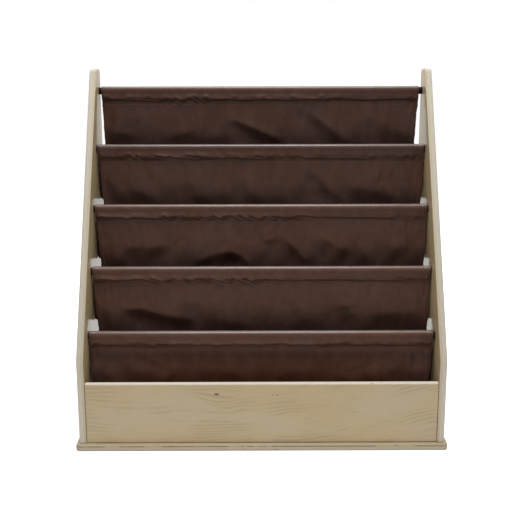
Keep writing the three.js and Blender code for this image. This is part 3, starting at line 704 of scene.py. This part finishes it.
def brown_cloth():
    """Smooth dark brown cloth. The weave is a product of two sines on the flat cloth. The tone drifts in soft
    clouds, and is painted redder and lighter on the lower tiers, as painted light from the warm boards below.
    The front of the last fall is painted lighter still towards the front board, as painted light where the
    board shades it, and is orange in its middle and greyer at its ends. Small clouds are darker, and each
    undercut, the bottom of the top fall and the pockets' depths are painted darker, as painted shade. Some
    threads and the seams are paler, and soft streaks are painted paler, as painted light on the cloth's
    flutes. The crest over each rod is painted paler as a painted highlight, and made glossier by a coat."""
    material, shader = new_finish("brown_cloth", 0.42, Specular_IOR_Level=0.12, Sheen_Weight=0.15,
                                  Sheen_Roughness=0.3, Coat_Roughness=0.3)
    flat = step(shader, "Attribute", {}, output="Vector", attribute_name="flat_cloth")
    place = own_place(shader)
    across, down, height = pick(shader, flat, "X"), pick(shader, flat, "Y"), pick(shader, place, "Z")
    warp, weft = (sums(shader, "SINE", sums(shader, "MULTIPLY", run, 2 * math.pi / thread_gap))
                  for run in (across, down))
    weave = sums(shader, "MULTIPLY", warp, weft)

    drift = between(shader, noise(shader, place, 11.0, 3.0), 0.3, 0.7)
    # Painted light: the lower tiers are made redder and lighter, as warm light bounced from the boards makes
    # them.
    upper = tint(shader, drift, (0.066, 0.030, 0.0190), (0.070, 0.0355, 0.0265))
    lower = tint(shader, drift, (0.101, 0.0460, 0.0285), (0.105, 0.0525, 0.0370))
    tone = tint(shader, between(shader, height, 0.74, 0.22), upper, lower)
    # Painted shade: the bottom of the top fall, just over the second sleeve, is darkened towards black.
    top_fall_shade = sums(shader, "MULTIPLY", between(shader, height, 0.64, 0.612),
                   between(shader, height, 0.594, 0.600))
    tone = stain(shader, tone, top_fall_shade, 0.3, painted_shade_black)
    # Painted light: the front of the last fall is made lighter towards the front board, where the board
    # shades it; its middle is orange and its ends greyer.
    board_shade_lift = between(shader, height, 0.186, 0.150)
    ends = between(shader, sums(shader, "ABSOLUTE", across), 0.20, 0.355)
    warm = tint(shader, board_shade_lift, (0.045, 0.0145, 0.0056), (0.092, 0.0355, 0.0170))
    cool = tint(shader, board_shade_lift, (0.060, 0.0270, 0.0180), (0.103, 0.0510, 0.0390))
    forward = between(shader, pick(shader, own_facing(shader), "Y"), 0.2, -0.2)
    bin_fall = sums(shader, "MULTIPLY", forward, between(shader, height, 0.200, 0.185))
    tone = tint(shader, bin_fall, tone, tint(shader, ends, warm, cool))
    # Painted shade: each fall is darkened towards black deeper in its pocket, but not the last fall's front.
    deep = sums(shader, "SUBTRACT", between(shader, down, 42 * MM, 100 * MM), bin_fall)
    tone = stain(shader, tone, deep, 0.62, painted_shade_black)

    mottle = between(shader, noise(shader, place, 58.0, 3.0), 0.38, 0.62)
    tone = stain(shader, tone, mottle, 0.17, dark_brown)
    # Painted light: soft paler streaks stand in for the light on the cloth's vertical flutes.
    streaks = noise(shader, stretched(shader, flat, (34.0, 13.0, 0.0)), 1.0, 2.0)
    tone = stain(shader, tone, between(shader, streaks, 0.46, 0.72), 0.20, streak_light_brown)
    slub = noise(shader, stretched(shader, flat, (60.0, 900.0, 0.0)), 1.0, 2.0)
    tone = stain(shader, tone, between(shader, slub, 0.45, 0.8), 0.4, slub_brown)
    tone = tint(shader, sums(shader, "MULTIPLY_ADD", weave, 0.10, 0.10), tone, weft_brown)
    # Painted shade: the cloth is darkened by its undercut, under each bulge and fold.
    undercut_shade = between(shader, pick(shader, flat, "Z"), 0.08, 0.85)
    tone = stain(shader, tone, undercut_shade, 0.36, shade_brown)
    off_seam = sums(shader, "ABSOLUTE", sums(shader, "SUBTRACT", down, 1.2 * MM))
    tone = stain(shader, tone, between(shader, off_seam, 1.9 * MM, 0.7 * MM), 0.12, seam_brown)

    # Painted highlight: a paler line along the crest over each rod, broken up by noise, with a clear coat on
    # it.
    off_crest = sums(shader, "ABSOLUTE", sums(shader, "SUBTRACT", down, 2.6 * MM - round_rod / 2))
    crest_breakup = noise(shader, stretched(shader, place, scales("X", 13.0, 4.0)), 1.0, 3.0)
    wear_and_highlight = sums(shader, "MULTIPLY", between(shader, off_crest, 6.4 * MM, 2.2 * MM),
                  sums(shader, "MULTIPLY_ADD", between(shader, crest_breakup, 0.3, 0.7), 0.14, 0.80))
    tone = stain(shader, tone, wear_and_highlight, 0.85, crest_highlight_brown)
    feed(shader, Base_Color=tone, Coat_Weight=sums(shader, "MULTIPLY", wear_and_highlight, 0.7),
         Roughness=sums(shader, "MULTIPLY_ADD", slub, 0.14, 0.37),
         Normal=bump(shader, weave, 0.25, 0.12 * MM))
    return material


sling_cloth = brown_cloth()
edges = np.array([0, 0.12, 0.4, 1.1, 2.2, 4, 6.2, 8.6, 9.5, 10.1, 10.8, 12.2]) * MM
middle = np.linspace(edges[-1] - half_width, half_width - edges[-1], 230)
columns = np.concatenate([edges[:-1] - half_width, middle, (half_width - edges[:-1])[::-1]])
for tier in tiers:
    far, x = np.meshgrid(stations(tier), columns, indexing="ij")
    half = thickness(half_width - np.abs(x))
    face, back = (sling_point(tier, far, x / half_width, off) for off in (half, -half))
    run = np.stack([x, far - seam_at(tier), undercut(tier, far, x)], -1)
    sling = cloth_shell(f"sling_tier_{tier}", face, back, run)
    sling.data.materials.append(sling_cloth)
    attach(sling, "root")
    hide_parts(f"sling_sleeve_{tier}", f"sling_pocket_{tier}" if tier < 5 else "sling_bin_back")
    if tier == 5:
        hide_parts("sling_sleeve_6")


# Seam and hem stitches. Doubled brown thread in a lockstitch: one row along each seam on both sides of the
# sleeve, and one down each side hem on both sides of the cloth. Each stitch is half sunk in the cloth.
def thread():
    """Glossy brown sewing thread, a little lighter than the cloth, with a fine twist."""
    material, shader = new_finish("brown_thread", 0.4, Specular_IOR_Level=0.4)
    twist = noise(shader, stretched(shader, own_place(shader), (3000.0, 3000.0, 3000.0)), 1.0, 1.0)
    feed(shader, Base_Color=tint(shader, twist, (0.085, 0.050, 0.041), (0.17, 0.108, 0.090)))
    return material


def stitches(tier, far, across, sideways, over):
    """A row of beads on the cloth, one at each (far, across). A bead is four corners round its middle and a
    tip at each end: 2.5 mm long and 0.5 mm thick. sideways rows run across the cloth, the others along it,
    and over is 1 on the face and -1 on the back."""
    off = over * (thickness(half_width * (1 - np.abs(across))) + 0.06 * MM)
    nudge = 0.3 * MM
    middle = sling_point(tier, far, across, off)
    further = sling_point(tier, far + nudge, across, off) - sling_point(tier, far - nudge, across, off)
    wider = (sling_point(tier, far, across + nudge / half_width, off)
             - sling_point(tier, far, across - nudge / half_width, off))
    long, wide = (wider, further) if sideways else (further, wider)
    long, wide = (v / np.linalg.norm(v, axis=1, keepdims=True) for v in (long, wide))
    up = np.cross(long, wide)
    steps = np.array([-1.25, -0.75, -0.75, -0.75, -0.75, 0.75, 0.75, 0.75, 0.75, 1.25]) * MM
    turn = np.array([0, 0, 1, 2, 3, 0, 1, 2, 3, 0]) * math.pi / 2
    girth = np.array([0, 1, 1, 1, 1, 1, 1, 1, 1, 0]) * 0.26 * MM
    points = (middle[:, None] + long[:, None] * steps[:, None]
              + wide[:, None] * (girth * np.cos(turn))[:, None]
              + up[:, None] * (girth * np.sin(turn))[:, None])
    ring = np.arange(4)
    following = (ring + 1) % 4
    tips = np.concatenate([np.stack([0 * ring, 1 + following, 1 + ring], 1),
                           np.stack([9 + 0 * ring, 5 + ring, 5 + following], 1)])
    walls = np.concatenate([np.stack([1 + ring, 1 + following, 5 + following], 1),
                            np.stack([1 + ring, 5 + following, 5 + ring], 1)])
    bead = np.concatenate([tips, walls])
    faces = (bead[None] + 10 * np.arange(len(middle))[:, None, None]).reshape(-1, 3)
    return points.reshape(-1, 3), faces


brown_thread = thread()
pitch = 3.3 * MM
inset = 1 - 0.84 * hem / half_width
sewn = np.arange(pitch - half_width, half_width - pitch, pitch) / half_width
for tier in tiers:
    end = lines[tier][0][-1]
    front_seam = seam_at(tier)
    back_seam = front_seam - round_rod
    rows = [(0 * sewn + front_seam, sewn, True, 1), (0 * sewn + back_seam + 0.4 * MM, sewn, True, 1)]
    if tier == 5:
        rows.append((0 * sewn + end - allowance, sewn, True, 1))
        rows.append((0 * sewn + end - allowance - round_rod, sewn, True, 1))
    down = np.arange(back_seam + pitch, end - pitch, pitch)
    fall = down[down > front_seam + pitch]
    for side in (-1, 1):
        rows.append((down, 0 * down + side * inset, False, 1))
        rows.append((fall, 0 * fall + side * inset, False, -1))
    parts = [stitches(tier, *row) for row in rows]
    counts = np.cumsum([0] + [len(points) for points, _ in parts])
    mesh = bpy.data.meshes.new(f"sling_stitches_{tier}")
    mesh.from_pydata(np.concatenate([points for points, _ in parts]), [],
                     np.concatenate([faces + first for (_, faces), first in zip(parts, counts)]))
    mesh.polygons.foreach_set("use_smooth", np.ones(len(mesh.polygons), bool))
    mesh.materials.append(brown_thread)
    sewing = bpy.data.objects.new(f"sling_stitches_{tier}", mesh)
    bpy.context.scene.collection.objects.link(sewing)
    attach(sewing, "root")


# Floor and light. A white paper floor in a white room whose own light is dim, and two soft boxes above: one
# in front, and a stronger one a little behind that draws a light line along every upper edge.
def looked_at(shader):
    """1 where a surface is seen, whether straight, mirrored or through glass, and 0 where it only lights."""
    seen, mirrored, through = (step(shader, "LightPath", {}, output=f"Is {way} Ray")
                               for way in ("Camera", "Glossy", "Transmission"))
    return sums(shader, "MAXIMUM", sums(shader, "MAXIMUM", seen, mirrored), through)


def white_paper():
    """White paper with a faint tooth. Where it is looked at it glows a little besides, so that it shows white
    with only a soft shadow under the shelf, and lights nothing by that."""
    material, shader = new_finish("white_paper", 0.9, Specular_IOR_Level=0.0,
                                  Base_Color=(0.84, 0.84, 0.84, 1), Emission_Color=(1, 1, 1, 1))
    feed(shader, Emission_Strength=sums(shader, "MULTIPLY", looked_at(shader), 0.72),
         Normal=bump(shader, noise(shader, own_place(shader), 220.0, 2.0), 0.02, 0.5 * MM))
    return material


corners = [(60 * x, 60 * y, 0) for x, y in ((-1, -1), (1, -1), (1, 1), (-1, 1))]
floor_mesh = bpy.data.meshes.new("floor")
floor_mesh.from_pydata(corners, [], [(0, 1, 2, 3)])
floor_mesh.materials.append(white_paper())
floor = bpy.data.objects.new("floor", floor_mesh)
bpy.context.scene.collection.objects.link(floor)

room = bpy.data.worlds.new("room")
room.use_nodes = True
bpy.context.scene.world = room
white = room.node_tree.nodes["Background"]
white.inputs["Color"].default_value = (1, 1, 1, 1)
white.inputs["Strength"].default_value = 1.0
dim = step(white, "Background", {"Color": (1.0, 0.99, 0.97, 1), "Strength": 0.35})
mixed = step(white, "MixShader", {0: looked_at(white), 1: dim, 2: white.outputs[0]})
room.node_tree.links.new(mixed, room.node_tree.nodes["World Output"].inputs["Surface"])

aim = Vector((0, 0, 0.4))
for name, place, width, depth, power in (("front_box", (0.0, -0.85, 2.5), 1.1, 1.2, 27),
                                         ("top_box", (0.0, 0.35, 2.9), 1.1, 1.1, 46)):
    lamp = bpy.data.lights.new(name, "AREA")
    lamp.shape = "RECTANGLE"
    lamp.size, lamp.size_y, lamp.energy = width, depth, power
    box = bpy.data.objects.new(name, lamp)
    box.location = place
    box.rotation_euler = (aim - Vector(place)).to_track_quat("-Z", "Y").to_euler()
    box.visible_camera = False
    bpy.context.scene.collection.objects.link(box)
